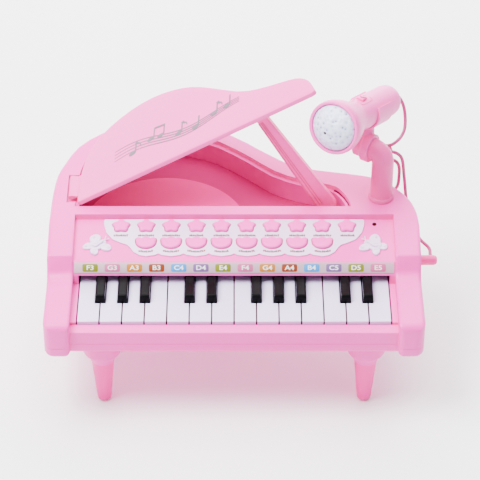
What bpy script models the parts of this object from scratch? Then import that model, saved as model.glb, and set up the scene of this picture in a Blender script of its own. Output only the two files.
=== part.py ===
"""Toy electronic keyboard shaped like a small grand piano.

Frame: +X to the player's right, +Y away from the player, +Z up.
The origin is on the floor under the middle of the body.
Sizes below are in millimetres and are turned into metres by MM.
"""
import math

import bmesh
import bpy
from mathutils import Matrix, Vector

MM = 0.001

# Case heights above the floor.
FLOOR_OF_CASE = 84.0
SEAM = 97.0
CASE_TOP = 156.0
ARM_TOP = 126.0
WALL = 3.0
GAP = 0.3

# Case plan.
HALF_WIDTH = 190.0
ARM_INNER = 164.0
ARM_FRONT = -151.5
APRON_FRONT = -143.5
TAIL_BACK = 151.5
ARM_OUTER_RADIUS = 10.0
ARM_INNER_RADIUS = 6.0

# Keys.
WHITE_COUNT = 14
WHITE_PITCH = 22.5
WHITE_GAP = 0.5
KEY_TOP = 116.0
WHITE_FRONT = -130.7
WHITE_DEPTH = 5.0
BLACK_FRONT = -102.3
BLACK_RAISED_BACK = -60.0
BLACK_WIDTH = 10.4
BLACK_HEIGHT = 9.0
BLACK_CLEAR = 0.4
KEY_HINGE_Y = -28.5
KEY_HINGE_Z = 113.0
KEY_BACK = -27.0
BLACK_AFTER_WHITE = (1, 2, 3, 5, 6, 8, 9, 10, 12, 13)

# Control panel.
PANEL_FRONT_Y = -63.5
PANEL_FRONT_Z = 138.5
PANEL_LENGTH = 55.4
PANEL_SLOPE = math.radians(11.0)
PANEL_BACK_Y = -9.1
TOP_ROW_COUNT = 10
TOP_ROW_PITCH = 25.8
TOP_ROW_L = 45.2
LOW_ROW_COUNT = 8
LOW_ROW_PITCH = 25.75
LOW_ROW_L = 22.5
BUTTON_RISE = 3.6
BUTTON_CLEAR = 0.45
PLATE_LOW = 0.2
PLATE_HIGH = 1.3
PLATE_HALF_WIDTH = 133.8
LIGHT_X = 144.3
LIGHT_L = 49.0
LIGHT_RADIUS = 1.6

# Well in the top.
WELL_FLOOR = 128.0
WELL_STEP = 136.0
WELL_STEP_X = -71.6
WELL_STEP_Y = -7.2
WELL_STEP_RADIUS = 85.8
REBATE_FLOOR = 150.8
REBATE_WIDTH = 4.0

# Lid.
HINGE_X = -169.5
HINGE_Z = 157.0
LID_OPEN = math.radians(30.05)
LID_TOP = 156.4
LID_THICKNESS = 5.0
TAB_FRONT = 17.3
TAB_BACK = 51.4
TAB_RADIUS = 2.8
SLOT_FRONT = 10.9
SLOT_BACK = 57.5
SLOT_LEFT = -173.9
SLOT_RIGHT = -160.0
SLOT_FLOOR = 152.0

# Prop stick.
PROP_X = 96.5
PROP_Y = 19.1
PROP_Z = 148.0
PROP_LEAN = math.radians(31.9)
PROP_FOOT_RADIUS = 10.0
PROP_TIP_HALF = 5.7
PROP_THICKNESS = 8.0

# Legs.
LEG_X = 134.0
LEG_FRONT_Y = -117.5
REAR_LEG_X = -40.0
REAR_LEG_Y = 106.0
BOSS_RADIUS = 20.0
BOSS_MIDDLE = 66.0
BOSS_LOW = 55.0
BOSS_LOW_RADIUS = 12.2
SPIGOT_RADIUS = 7.5

# Microphone and its stand.
STAND_X = 152.7
STAND_Y = 20.0
STAND_RADIUS = 11.4
COLLAR_RADIUS = 13.3
ELBOW_REACH = 12.0
PIVOT_Z = 213.5
PIVOT_REACH = 16.8
PIVOT_DISC_RADIUS = 15.0
PIVOT_DISC_HALF = 4.5
HUB_RADIUS = 12.0
HUB_END = 14.5
MIC_MIDDLE = Vector((129.3, 35.2, 251.8))
MIC_AXIS = Vector((-0.510, -0.810, 0.285)).normalized()
HANDLE_RADIUS = 16.8
HEAD_RADIUS = 27.8
MIC_TAIL = -66.0
MIC_RIM = 61.0
SWITCH_T = 5.0

# Cord and plug.
CORD_RADIUS = 1.8
PLUG_Y = -22.5
PLUG_Z = 106.0
PLUG_RADIUS = 5.25
PLUG_OUT = 211.0
PLUG_CORD_X = 204.4
PIN_RADIUS = 2.3
JACK_RADIUS = 2.6


for old in list(bpy.data.objects):
    bpy.data.objects.remove(old, do_unlink=True)

parts = bpy.data.collections.new("toy_piano_keyboard")
cutters = bpy.data.collections.new("cutters")
bpy.context.scene.collection.children.link(parts)
bpy.context.scene.collection.children.link(cutters)


def material(name, colour, roughness=0.35, metallic=0.0):
    made = bpy.data.materials.new(name)
    made.use_nodes = True
    shader = made.node_tree.nodes["Principled BSDF"]
    shader.inputs["Base Color"].default_value = (*colour, 1.0)
    shader.inputs["Roughness"].default_value = roughness
    shader.inputs["Metallic"].default_value = metallic
    return made


PINK = material("pink_plastic", (0.90, 0.52, 0.72))
DEEP_PINK = material("deep_pink_plastic", (0.84, 0.36, 0.55))
WHITE = material("white_plastic", (0.82, 0.81, 0.84))
BLACK = material("black_plastic", (0.015, 0.014, 0.018), 0.12)
CORD_PINK = material("cord_vinyl", (0.78, 0.16, 0.34), 0.5)
GRILLE = material("grille_plastic", (0.74, 0.76, 0.82), 0.3)
BOARD = material("circuit_board", (0.05, 0.25, 0.10), 0.5)
DARK = material("speaker_cone", (0.04, 0.04, 0.045), 0.6)


def add_object(name, mesh_builder, look, origin=(0.0, 0.0, 0.0), cutter=False):
    """Turns a bmesh in millimetres into an object whose origin is given in millimetres."""
    centre = Vector(origin)
    bmesh.ops.remove_doubles(mesh_builder, verts=mesh_builder.verts, dist=0.002)
    bmesh.ops.recalc_face_normals(mesh_builder, faces=mesh_builder.faces)
    for vertex in mesh_builder.verts:
        vertex.co = (vertex.co - centre) * MM
    mesh = bpy.data.meshes.new(name)
    mesh_builder.to_mesh(mesh)
    mesh_builder.free()
    made = bpy.data.objects.new(name, mesh)
    made.location = centre * MM
    if cutter:
        cutters.objects.link(made)
        made.hide_render = True
        made.display_type = "WIRE"
    else:
        parts.objects.link(made)
        mesh.materials.append(look)
    return made


def boolean(target, tool, operation="DIFFERENCE"):
    step = target.modifiers.new(tool.name, "BOOLEAN")
    step.operation = operation
    step.solver = "EXACT"
    step.object = tool
    return step


def loft(builder, rings, close_ends=True):
    """Skins rings that have the same number of points and caps the two ends."""
    rows = []
    for ring in rings:
        rows.append([builder.verts.new(Vector(point)) for point in ring])
    count = len(rings[0])
    for low, high in zip(rows[:-1], rows[1:]):
        for index in range(count):
            after = (index + 1) % count
            builder.faces.new((low[index], low[after], high[after], high[index]))
    if close_ends:
        builder.faces.new(list(reversed(rows[0])))
        builder.faces.new(rows[-1])


def prism(name, outline, low, high, look=None, cutter=False):
    builder = bmesh.new()
    rings = []
    for height in (low, high):
        rings.append([(x, y, height) for x, y in outline])
    loft(builder, rings)
    return add_object(name, builder, look, cutter=cutter)


def bar_along_x(name, profile, left, right, look=None, cutter=False, origin=(0, 0, 0)):
    builder = bmesh.new()
    rings = []
    for across in (left, right):
        rings.append([(across, y, z) for y, z in profile])
    loft(builder, rings)
    return add_object(name, builder, look, origin=origin, cutter=cutter)


def box(name, low, high, look=None, cutter=False, origin=(0, 0, 0)):
    profile = [(low[1], low[2]), (high[1], low[2]), (high[1], high[2]), (low[1], high[2])]
    return bar_along_x(name, profile, low[0], high[0], look, cutter, origin)


def circle(radius, count, start=0.0):
    points = []
    for index in range(count):
        angle = start + 2.0 * math.pi * index / count
        points.append((radius * math.cos(angle), radius * math.sin(angle)))
    return points


def revolve(builder, profile, count, place):
    """Turns a profile of (radius, height) pairs about local Z. A radius of 0 is a pole."""
    rows = []
    for radius, height in profile:
        if radius < 1e-6:
            rows.append([builder.verts.new(place @ Vector((0.0, 0.0, height)))])
            continue
        ring = []
        for x, y in circle(radius, count):
            ring.append(builder.verts.new(place @ Vector((x, y, height))))
        rows.append(ring)
    for low, high in zip(rows[:-1], rows[1:]):
        for index in range(count):
            after = (index + 1) % count
            if len(low) == 1:
                builder.faces.new((low[0], high[after], high[index]))
            elif len(high) == 1:
                builder.faces.new((low[index], low[after], high[0]))
            else:
                builder.faces.new((low[index], low[after], high[after], high[index]))


def smooth_chain(points, steps):
    """Catmull-Rom curve through the points, with the ends kept."""
    chain = [points[0]] + list(points) + [points[-1]]
    result = []
    for index in range(1, len(chain) - 2):
        p0, p1, p2, p3 = [Vector(chain[index + shift]) for shift in (-1, 0, 1, 2)]
        for step in range(steps):
            t = step / steps
            value = 2.0 * p1 + (p2 - p0) * t
            value += (2.0 * p0 - 5.0 * p1 + 4.0 * p2 - p3) * t * t
            value += (3.0 * p1 - p0 - 3.0 * p2 + p3) * t * t * t
            result.append(tuple(value * 0.5))
    result.append(tuple(points[-1]))
    return result


def arc(centre, radius, start, end, steps):
    points = []
    for step in range(steps + 1):
        angle = math.radians(start + (end - start) * step / steps)
        points.append((centre[0] + radius * math.cos(angle), centre[1] + radius * math.sin(angle)))
    return points


def inset(outline, distance):
    """Moves each side of a counterclockwise outline inwards by the distance."""
    result = []
    count = len(outline)
    for index in range(count):
        before = Vector(outline[index - 1])
        here = Vector(outline[index])
        after = Vector(outline[(index + 1) % count])
        first = (here - before).normalized()
        second = (after - here).normalized()
        n1 = Vector((-first.y, first.x))
        n2 = Vector((-second.y, second.x))
        moved = here + (n1 + n2) * (distance / (1.0 + n1.dot(n2)))
        result.append((moved.x, moved.y))
    return result


def place_along(axis, origin):
    """Matrix that turns local Z to the axis and local Y as far up as it goes."""
    forward = Vector(axis).normalized()
    up = Vector((0.0, 0.0, 1.0))
    if abs(forward.dot(up)) > 0.99:
        up = Vector((0.0, 1.0, 0.0))
    upward = (up - forward * up.dot(forward)).normalized()
    side = upward.cross(forward)
    matrix = Matrix((side, upward, forward)).transposed().to_4x4()
    matrix.translation = Vector(origin)
    return matrix


# ---------------------------------------------------------------- case outline
RIGHT_SIDE = [(190.0, -25.0), (189.2, -10.0), (187.4, 3.0), (182.6, 17.8), (172.6, 33.8),
              (160.0, 47.0), (142.5, 57.2), (115.0, 63.5), (87.0, 68.8), (69.0, 74.0),
              (54.5, 82.0), (28.2, 104.2), (-1.5, 129.6), (-36.0, 145.4), (-75.0, 151.5)]
LEFT_SIDE = [(-75.0, 151.5), (-112.0, 147.2), (-142.5, 134.6), (-167.0, 109.0),
             (-179.0, 81.5), (-186.0, 59.5), (-188.8, 32.0), (-189.7, 3.0), (-190.0, -25.0)]


def body_outline():
    points = [(ARM_INNER, APRON_FRONT)]
    radius = ARM_INNER_RADIUS
    centre = (ARM_INNER + radius, ARM_FRONT + radius)
    points += arc(centre, radius, 180.0, 270.0, 4)
    radius = ARM_OUTER_RADIUS
    centre = (HALF_WIDTH - radius, ARM_FRONT + radius)
    points += arc(centre, radius, 270.0, 360.0, 5)
    back = smooth_chain(RIGHT_SIDE, 2)[:-1] + smooth_chain(LEFT_SIDE, 2)
    points += [(x, min(y, TAIL_BACK)) for x, y in back]
    mirrored = []
    for x, y in reversed(points[: 1 + 5 + 6]):
        mirrored.append((-x, y))
    return points + mirrored


BODY = body_outline()

WELL_CURVE = [(121.0, 4.5), (118.6, 16.6), (110.4, 33.3), (100.4, 41.0), (69.2, 50.7),
              (42.4, 65.4), (18.2, 88.4), (-14.4, 115.8), (-45.0, 130.2), (-75.0, 135.0),
              (-104.0, 131.4), (-131.0, 119.0), (-149.0, 101.0), (-158.5, 80.0),
              (-163.0, 56.0), (-164.8, 30.0), (-165.0, 4.5)]
WELL = smooth_chain(WELL_CURVE, 2)

LID_CURVE = [(113.5, 5.0), (117.0, 6.1), (118.2, 8.8), (116.7, 13.6), (113.6, 24.8), (108.0, 35.1), (97.6, 43.4),
             (79.1, 49.1), (52.7, 56.5), (29.5, 69.2), (-1.5, 97.3), (-25.5, 116.6),
             (-50.0, 127.6), (-75.0, 131.6), (-101.0, 127.4), (-127.0, 114.6),
             (-146.0, 97.0), (-155.5, 76.0), (-160.0, 52.0), (-161.8, 28.0), (-162.0, 8.6),
             (-161.0, 5.8), (-158.0, 5.0)]
LID = smooth_chain(LID_CURVE, 2)


# ---------------------------------------------------------------- shape cutters
def arm_profile(grow):
    """Side view of the arms and shoulders; everything above it is cut away."""
    radius = 9.0 - grow
    points = [(ARM_FRONT - 20.0, ARM_TOP + 60.0), (ARM_FRONT - 20.0, ARM_TOP - 9.0)]
    centre = (ARM_FRONT + 9.0, ARM_TOP - 9.0)
    points += arc(centre, radius, 180.0, 90.0, 5)
    points += [(-83.5, ARM_TOP - grow), (-77.5 + grow * 0.2, ARM_TOP + 0.9 - grow)]
    points += [(-73.0 + grow * 0.5, ARM_TOP + 3.0 - grow * 0.8)]
    points += [(-69.8 + grow * 0.9, ARM_TOP + 6.4 - grow * 0.5)]
    points += [(-64.2 + grow * 0.8, ARM_TOP + 18.4 - grow * 0.6)]
    points += [(-61.5 + grow * 0.4, ARM_TOP + 20.2 - grow)]
    points += [(PANEL_BACK_Y + grow * 0.2, CASE_TOP - grow)]
    if grow > 0:
        points += [(PANEL_BACK_Y + grow * 0.2, CASE_TOP + 20.0)]
    points += [(PANEL_BACK_Y, ARM_TOP + 60.0)]
    return points


def arm_cutter():
    stations = []
    for away, drop in ((206.0, 3.4), (190.05, 3.4), (189.1, 1.8), (187.6, 0.6), (185.8, 0.0)):
        stations.append((-away, drop))
    for away, drop in ((167.0, 0.0), (165.2, 0.5), (164.2, 1.3), (163.5, 2.0)):
        stations.append((-away, drop))
    stations += [(-across, drop) for across, drop in reversed(stations)]
    profile = arm_profile(0.0)
    last = len(profile) - 2
    rings = []
    for across, drop in stations:
        ring = []
        for index, (y, z) in enumerate(profile):
            lowered = z - drop if 0 < index < last else z
            if index in (2, 3, 4) and drop > 0.0:
                y += drop * 0.6
            ring.append((across, y, lowered))
        rings.append(ring)
    builder = bmesh.new()
    loft(builder, rings)
    return add_object("arm_top_cutter", builder, None, cutter=True)


def centre_profile(grow):
    """Side view of the apron, ledge, lip and sloping panel between the arms."""
    rise = math.sin(PANEL_SLOPE)
    run = math.cos(PANEL_SLOPE)
    down = grow / run
    ledge = 112.0 - grow
    cheek = 115.0 - grow
    back_y = PANEL_BACK_Y + grow
    points = [(ARM_FRONT - 30.0, 60.0), (APRON_FRONT + grow, 60.0)]
    points += [(APRON_FRONT + grow, ledge - 2.5), (APRON_FRONT + grow + 0.7, ledge - 0.8)]
    points += [(APRON_FRONT + grow + 2.6, ledge), (-131.3 + grow, ledge), (-131.3 + grow, cheek)]
    points += [(-71.5 + grow, cheek), (-71.5 + grow, 126.0 - grow * 0.3)]
    points += [(-70.5 + grow, 128.0 - grow * 0.3)]
    front_z = PANEL_FRONT_Z - down
    points += [(-64.7 + grow * 0.9, 138.1 - grow * 0.8)]
    start = PANEL_FRONT_Y + grow
    points += [(start, front_z + grow * rise / run)]
    points += [(back_y, PANEL_FRONT_Z + (back_y - PANEL_FRONT_Y) * rise / run - down)]
    points += [(back_y, 190.0), (ARM_FRONT - 30.0, 190.0)]
    return points


def cylinder_cutter(name, radius, place, low, high, count=32):
    builder = bmesh.new()
    profile = [(0.0, low), (radius, low), (radius, high), (0.0, high)]
    turn = Matrix.Rotation(math.radians(2.7), 4, "Z")
    revolve(builder, profile, count, place @ turn)
    return add_object(name, builder, None, cutter=True)


def well_low_cutter(name, grow):
    """Deeper floor of the well, outside the round raised step."""
    outline = inset(WELL, REBATE_WIDTH - grow)
    front = outline[0][1]
    radius = WELL_STEP_RADIUS - grow
    start = 180.0 - math.degrees(math.asin((front - WELL_STEP_Y) / radius))
    outline += arc((WELL_STEP_X, WELL_STEP_Y), radius, start, 180.0 - start, 24)
    return prism(name, outline, WELL_FLOOR - grow, WELL_STEP - grow + 2.0, cutter=True)


PANEL_X = Vector((1.0, 0.0, 0.0))
PANEL_L = Vector((0.0, math.cos(PANEL_SLOPE), math.sin(PANEL_SLOPE)))
PANEL_W = Vector((0.0, -math.sin(PANEL_SLOPE), math.cos(PANEL_SLOPE)))
PANEL_ORIGIN = Vector((0.0, PANEL_FRONT_Y, PANEL_FRONT_Z))


def on_panel(x, along, out):
    return PANEL_ORIGIN + PANEL_X * x + PANEL_L * along + PANEL_W * out


def panel_prism(builder, outline, low, high):
    rings = []
    for height in (low, high):
        rings.append([on_panel(x, along, height) for x, along in outline])
    loft(builder, rings)


def flower_outline(grow=0.0):
    points = []
    for index in range(20):
        angle = math.pi / 2.0 + 2.0 * math.pi * index / 20
        lobe = 1.0 + 0.10 * math.cos(5.0 * (angle - math.pi / 2.0))
        points.append((8.3 * lobe * math.cos(angle), 7.6 * lobe * math.sin(angle)))
    return inset(points, -grow)


def tulip_outline(grow=0.0):
    points = arc((0.0, 0.0), 1.0, 180.0, 360.0, 8)
    points = [(10.2 * x, 8.6 * y + 1.2) for x, y in points]
    points += [(10.5, 3.6), (9.9, 5.8), (8.2, 6.8), (6.3, 6.3), (5.0, 5.4), (3.6, 6.6)]
    points += [(1.8, 7.4), (-1.8, 7.4), (-3.6, 6.6), (-5.0, 5.4), (-6.3, 6.3)]
    points += [(-8.2, 6.8), (-9.9, 5.8), (-10.5, 3.6)]
    return inset(points, -grow)


def button_places():
    places = []
    for index in range(TOP_ROW_COUNT):
        x = (index - (TOP_ROW_COUNT - 1) / 2.0) * TOP_ROW_PITCH
        places.append(("button_top_%02d" % (index + 1), x, TOP_ROW_L, flower_outline))
    for index in range(LOW_ROW_COUNT):
        x = (index - (LOW_ROW_COUNT - 1) / 2.0) * LOW_ROW_PITCH
        places.append(("button_low_%02d" % (index + 1), x, LOW_ROW_L, tulip_outline))
    return places


def button_hole_cutter():
    builder = bmesh.new()
    for _, x, along, shape in button_places():
        outline = [(x + px, along + py) for px, py in shape(BUTTON_CLEAR)]
        panel_prism(builder, outline, -8.0, 8.0)
    return add_object("button_hole_cutter", builder, None, cutter=True)


# ---------------------------------------------------------------- upper case
def build_upper_case():
    builder = bmesh.new()
    rings = []
    for height, step in ((SEAM, 0.0), (152.6, 0.0), (154.7, 0.9), (155.7, 2.2), (CASE_TOP, 3.6)):
        rings.append([(x, y, height) for x, y in inset(BODY, step)])
    loft(builder, rings)
    case = add_object("upper_case", builder, PINK)

    cavity = prism("case_cavity_cutter", inset(BODY, WALL), SEAM - 4.0, CASE_TOP - WALL, cutter=True)
    boolean(cavity, bar_along_x("arm_inside_cutter", arm_profile(WALL), -206.0, 206.0, cutter=True))
    half = ARM_INNER + WALL
    boolean(cavity, bar_along_x("centre_inside_cutter", centre_profile(WALL), -half, half, cutter=True))
    outline = inset(WELL, -WALL)
    boolean(cavity, prism("rebate_inside_cutter", outline, REBATE_FLOOR - WALL, 170.0, cutter=True))
    outline = inset(WELL, REBATE_WIDTH - WALL)
    boolean(cavity, prism("well_inside_cutter", outline, WELL_STEP - WALL, 160.0, cutter=True))
    boolean(cavity, well_low_cutter("well_low_inside_cutter", WALL))
    low = (SLOT_LEFT - 2.0, SLOT_FRONT - 2.0, SLOT_FLOOR - 2.0)
    boolean(cavity, box("slot_inside_cutter", low, (SLOT_RIGHT, SLOT_BACK + 2.0, 170.0), cutter=True))

    boolean(case, arm_cutter())
    boolean(case, bar_along_x("centre_cutter", centre_profile(0.0), -ARM_INNER, ARM_INNER, cutter=True))
    boolean(case, cavity)
    low = (-158.2, -131.3, 90.0)
    boolean(case, box("key_opening_cutter", low, (158.2, -61.0, 125.9), cutter=True))
    boolean(case, prism("rebate_cutter", WELL, REBATE_FLOOR, 170.0, cutter=True))
    boolean(case, prism("well_cutter", inset(WELL, REBATE_WIDTH), WELL_STEP, 160.0, cutter=True))
    boolean(case, well_low_cutter("well_low_cutter", 0.0))
    low = (SLOT_LEFT, SLOT_FRONT, SLOT_FLOOR)
    boolean(case, box("hinge_slot_cutter", low, (SLOT_RIGHT, SLOT_BACK, 170.0), cutter=True))
    boolean(case, button_hole_cutter())
    place = place_along(PANEL_W, on_panel(LIGHT_X, LIGHT_L, 0.0))
    boolean(case, cylinder_cutter("light_hole_cutter", LIGHT_RADIUS, place, -6.0, 6.0, 20))
    place = place_along((1.0, 0.0, 0.0), (0.0, PLUG_Y, PLUG_Z))
    boolean(case, cylinder_cutter("jack_hole_cutter", JACK_RADIUS, place, 180.0, 200.0, 24))
    return case


# ---------------------------------------------------------------- lower case
def leg_places():
    return (("leg_front_left", -LEG_X, LEG_FRONT_Y), ("leg_front_right", LEG_X, LEG_FRONT_Y),
            ("leg_rear", REAR_LEG_X, REAR_LEG_Y))


def build_lower_case():
    builder = bmesh.new()
    rings = []
    base = FLOOR_OF_CASE
    for height, step in ((base, 5.0), (base + 0.9, 2.9), (base + 2.8, 1.0), (base + 5.4, 0.0)):
        rings.append([(x, y, height) for x, y in inset(BODY, step)])
    rings.append([(x, y, SEAM - GAP) for x, y in BODY])
    loft(builder, rings)
    case = add_object("lower_case", builder, PINK)
    boolean(case, prism("tray_cutter", inset(BODY, 4.8), base + WALL, SEAM + 5.0, cutter=True))
    for name, x, y in leg_places():
        builder = bmesh.new()
        profile = [(0.0, base + 1.0), (BOSS_RADIUS, base + 1.0), (BOSS_RADIUS, 70.0)]
        profile += [(BOSS_RADIUS - 1.2, BOSS_MIDDLE + 0.8), (BOSS_RADIUS - 4.2, BOSS_MIDDLE - 2.0)]
        profile += [(BOSS_LOW_RADIUS + 0.8, BOSS_LOW + 3.0), (BOSS_LOW_RADIUS, BOSS_LOW)]
        profile += [(0.0, BOSS_LOW)]
        revolve(builder, profile, 32, Matrix.Translation((x, y, 0.0)))
        boss = add_object(name + "_boss", builder, None, cutter=True)
        boolean(case, boss, "UNION")
        place = Matrix.Translation((x, y, 0.0))
        hole = cylinder_cutter(name + "_socket", SPIGOT_RADIUS + 0.25, place, 50.0, 72.0, 24)
        boolean(case, hole)
    boolean(case, box("battery_opening_cutter", (-112.0, 6.0, 80.0), (-18.0, 72.0, 92.0), cutter=True))
    return case


def build_legs():
    for name, x, y in leg_places():
        builder = bmesh.new()
        shoulder = BOSS_LOW - GAP
        profile = [(0.0, 71.5), (SPIGOT_RADIUS - 0.8, 71.5), (SPIGOT_RADIUS, 70.5)]
        profile += [(SPIGOT_RADIUS, shoulder), (11.6, shoulder), (11.6, shoulder - 1.0)]
        profile += [(7.5, 5.0), (7.0, 2.2), (5.6, 0.5), (4.2, 0.0), (0.0, 0.0)]
        revolve(builder, profile, 24, Matrix.Translation((x, y, 0.0)))
        add_object(name, builder, DEEP_PINK, origin=(x, y, 0.0))


# ---------------------------------------------------------------- keys
def white_notches(index):
    left = index in BLACK_AFTER_WHITE
    right = (index + 1) in BLACK_AFTER_WHITE
    return left, right


def build_white_keys():
    notch = BLACK_WIDTH / 2.0 + BLACK_CLEAR
    for index in range(WHITE_COUNT):
        left_edge = (index - WHITE_COUNT / 2.0) * WHITE_PITCH
        right_edge = left_edge + WHITE_PITCH
        left_notch, right_notch = white_notches(index)
        x0 = left_edge + WHITE_GAP / 2.0
        x1 = right_edge - WHITE_GAP / 2.0
        inner0 = left_edge + notch if left_notch else x0
        inner1 = right_edge - notch if right_notch else x1
        step = BLACK_FRONT - BLACK_CLEAR
        outline = [(x0 + 0.8, WHITE_FRONT), (x1 - 0.8, WHITE_FRONT), (x1, WHITE_FRONT + 0.8)]
        if right_notch:
            outline += [(x1, step), (inner1, step)]
        outline += [(inner1, KEY_BACK), (inner0, KEY_BACK)]
        if left_notch:
            outline += [(inner0, step), (x0, step)]
        outline += [(x0, WHITE_FRONT + 0.8)]
        builder = bmesh.new()
        rings = []
        for height, shrink in ((KEY_TOP - WHITE_DEPTH, 0.0), (KEY_TOP - 0.5, 0.0), (KEY_TOP, 0.5)):
            rings.append([(x, y, height) for x, y in inset(outline, shrink)])
        loft(builder, rings)
        origin = ((left_edge + right_edge) / 2.0, KEY_HINGE_Y, KEY_HINGE_Z)
        add_object("key_white_%02d" % (index + 1), builder, WHITE, origin=origin)


def build_black_keys():
    half = BLACK_WIDTH / 2.0
    top = KEY_TOP + BLACK_HEIGHT
    low = KEY_TOP - WHITE_DEPTH
    side = [(BLACK_FRONT, low), (BLACK_FRONT + 0.3, top - 3.2), (BLACK_FRONT + 1.1, top - 1.2)]
    side += [(BLACK_FRONT + 2.8, top), (BLACK_RAISED_BACK, top), (BLACK_RAISED_BACK, KEY_TOP - 1.0)]
    side += [(KEY_BACK, KEY_TOP - 1.0), (KEY_BACK, low)]
    for index, white in enumerate(BLACK_AFTER_WHITE):
        centre = (white - WHITE_COUNT / 2.0) * WHITE_PITCH
        builder = bmesh.new()
        rings = []
        for fraction in (-1.0, -0.8, 0.8, 1.0):
            ring = []
            for y, z in side:
                taper = 1.0 - 0.10 * max(0.0, z - KEY_TOP) / BLACK_HEIGHT
                lowered = z - 0.9 if abs(fraction) > 0.9 and z > top - 2.0 else z
                ring.append((centre + half * fraction * taper, y, lowered))
            rings.append(ring)
        loft(builder, rings)
        origin = (centre, KEY_HINGE_Y, KEY_HINGE_Z)
        add_object("key_black_%02d" % (index + 1), builder, BLACK, origin=origin)


# ---------------------------------------------------------------- panel pieces
PLATE_LEFT = [(-133.6, 47.0), (-131.0, 37.0), (-124.5, 28.0), (-116.0, 23.4), (-109.0, 20.6),
              (-105.6, 16.5), (-102.6, 11.4), (-96.5, 7.0), (-90.0, 5.5)]


def plate_outline():
    """Plate outline on the panel, counterclockwise seen from outside."""
    half = [(-PLATE_HALF_WIDTH, 53.4), (-133.9, 50.5)] + PLATE_LEFT
    scallops = []
    for index in range(LOW_ROW_COUNT - 1):
        notch = -90.125 + 12.875 + (index - 0.5) * LOW_ROW_PITCH + 12.875
        if index > 0:
            scallops.append((notch - 12.875 + 0.0, 5.5))
        scallops.append((notch - 3.4, 7.2))
        scallops.append((notch, 9.2))
        scallops.append((notch + 3.4, 7.2))
    right = [(-x, along) for x, along in reversed(half)]
    return [(-132.8, 54.6)] + half + scallops + right + [(132.8, 54.6)]


def build_control_plate():
    builder = bmesh.new()
    outline = plate_outline()
    rings = []
    for height, step in ((PLATE_LOW, 0.0), (PLATE_HIGH, 0.0)):
        rings.append([on_panel(x, along, height) for x, along in inset(outline, step)])
    loft(builder, rings)
    plate = add_object("control_plate", builder, WHITE, origin=on_panel(0.0, 30.0, 0.0))
    boolean(plate, bpy.data.objects["button_hole_cutter"])


def build_buttons():
    for name, x, along, shape in button_places():
        builder = bmesh.new()
        rings = []
        steps = ((-5.0, 1.3), (-3.3, 1.3), (-3.3, 0.0), (BUTTON_RISE - 0.9, 0.0), (BUTTON_RISE, -1.1))
        for height, grow in steps:
            outline = shape(grow)
            rings.append([on_panel(x + px, along + py, height) for px, py in outline])
        loft(builder, rings)
        add_object(name, builder, PINK, origin=on_panel(x, along, 0.0))


# ---------------------------------------------------------------- lid and prop
def turned(point, angle):
    """Turns a point about the lid's hinge line; a positive angle opens the lid."""
    dx = point[0] - HINGE_X
    dz = point[2] - HINGE_Z
    x = dx * math.cos(angle) - dz * math.sin(angle)
    z = dx * math.sin(angle) + dz * math.cos(angle)
    return (HINGE_X + x, point[1], HINGE_Z + z)


def build_lid():
    hinge = (HINGE_X, 40.0, HINGE_Z)
    low = LID_TOP - LID_THICKNESS
    builder = bmesh.new()
    rings = []
    for height, step in ((low, 0.6), (low + 0.6, 0.0), (LID_TOP - 1.4, 0.0), (LID_TOP - 0.4, 0.5), (LID_TOP, 1.6)):
        outline = inset(LID, step)
        rings.append([turned((x, y, height), LID_OPEN) for x, y in outline])
    loft(builder, rings)
    lid = add_object("lid", builder, PINK, origin=hinge)
    profile = []
    for angle in range(60, 301, 30):
        turn = math.radians(angle)
        profile.append((HINGE_X + TAB_RADIUS * math.cos(turn), HINGE_Z + TAB_RADIUS * math.sin(turn)))
    profile += [(-158.0, 153.0), (-158.0, 155.4), (-163.5, 155.8)]
    builder = bmesh.new()
    rings = []
    for y in (TAB_FRONT, TAB_BACK):
        rings.append([turned((x, y, z), LID_OPEN) for x, z in profile])
    loft(builder, rings)
    tab = add_object("lid_tab", builder, None, origin=hinge, cutter=True)
    boolean(lid, tab, "UNION")


def build_prop():
    axis = Vector((-math.sin(PROP_LEAN), math.cos(PROP_LEAN)))
    side = Vector((math.cos(PROP_LEAN), math.sin(PROP_LEAN)))
    foot = Vector((PROP_X, PROP_Z))
    normal = Vector((-math.sin(LID_OPEN), math.cos(LID_OPEN)))
    under = Vector((HINGE_X, HINGE_Z)) + normal * (LID_TOP - LID_THICKNESS - HINGE_Z - GAP)

    def to_lid(start):
        return start + axis * ((under - start).dot(normal) / axis.dot(normal))

    outline = []
    for angle in range(180, 361, 20):
        turn = math.radians(angle)
        outline.append(foot + (side * math.cos(turn) + axis * math.sin(turn)) * PROP_FOOT_RADIUS)
    right = to_lid(foot + side * PROP_TIP_HALF)
    left = to_lid(foot - side * PROP_TIP_HALF)
    outline += [right - axis * 1.6, right - side * 1.0, left + side * 1.0, left - axis * 1.6]
    builder = bmesh.new()
    rings = []
    half = PROP_THICKNESS / 2.0
    outline = [(point.x, point.y) for point in outline]
    for y, step in ((-half, 0.9), (-half + 0.9, 0.0), (half - 0.9, 0.0), (half, 0.9)):
        rings.append([(x, PROP_Y + y, z) for x, z in inset(outline, step)])
    loft(builder, rings)
    add_object("prop_stick", builder, PINK, origin=(PROP_X, PROP_Y, PROP_Z))


# ---------------------------------------------------------------- microphone
MIC_PLACE = place_along(MIC_AXIS, MIC_MIDDLE)
PIVOT_AXIS = Vector((MIC_AXIS.y, -MIC_AXIS.x, 0.0)).normalized()
PIVOT = Vector((STAND_X, STAND_Y, PIVOT_Z)) + PIVOT_AXIS * PIVOT_REACH


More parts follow.
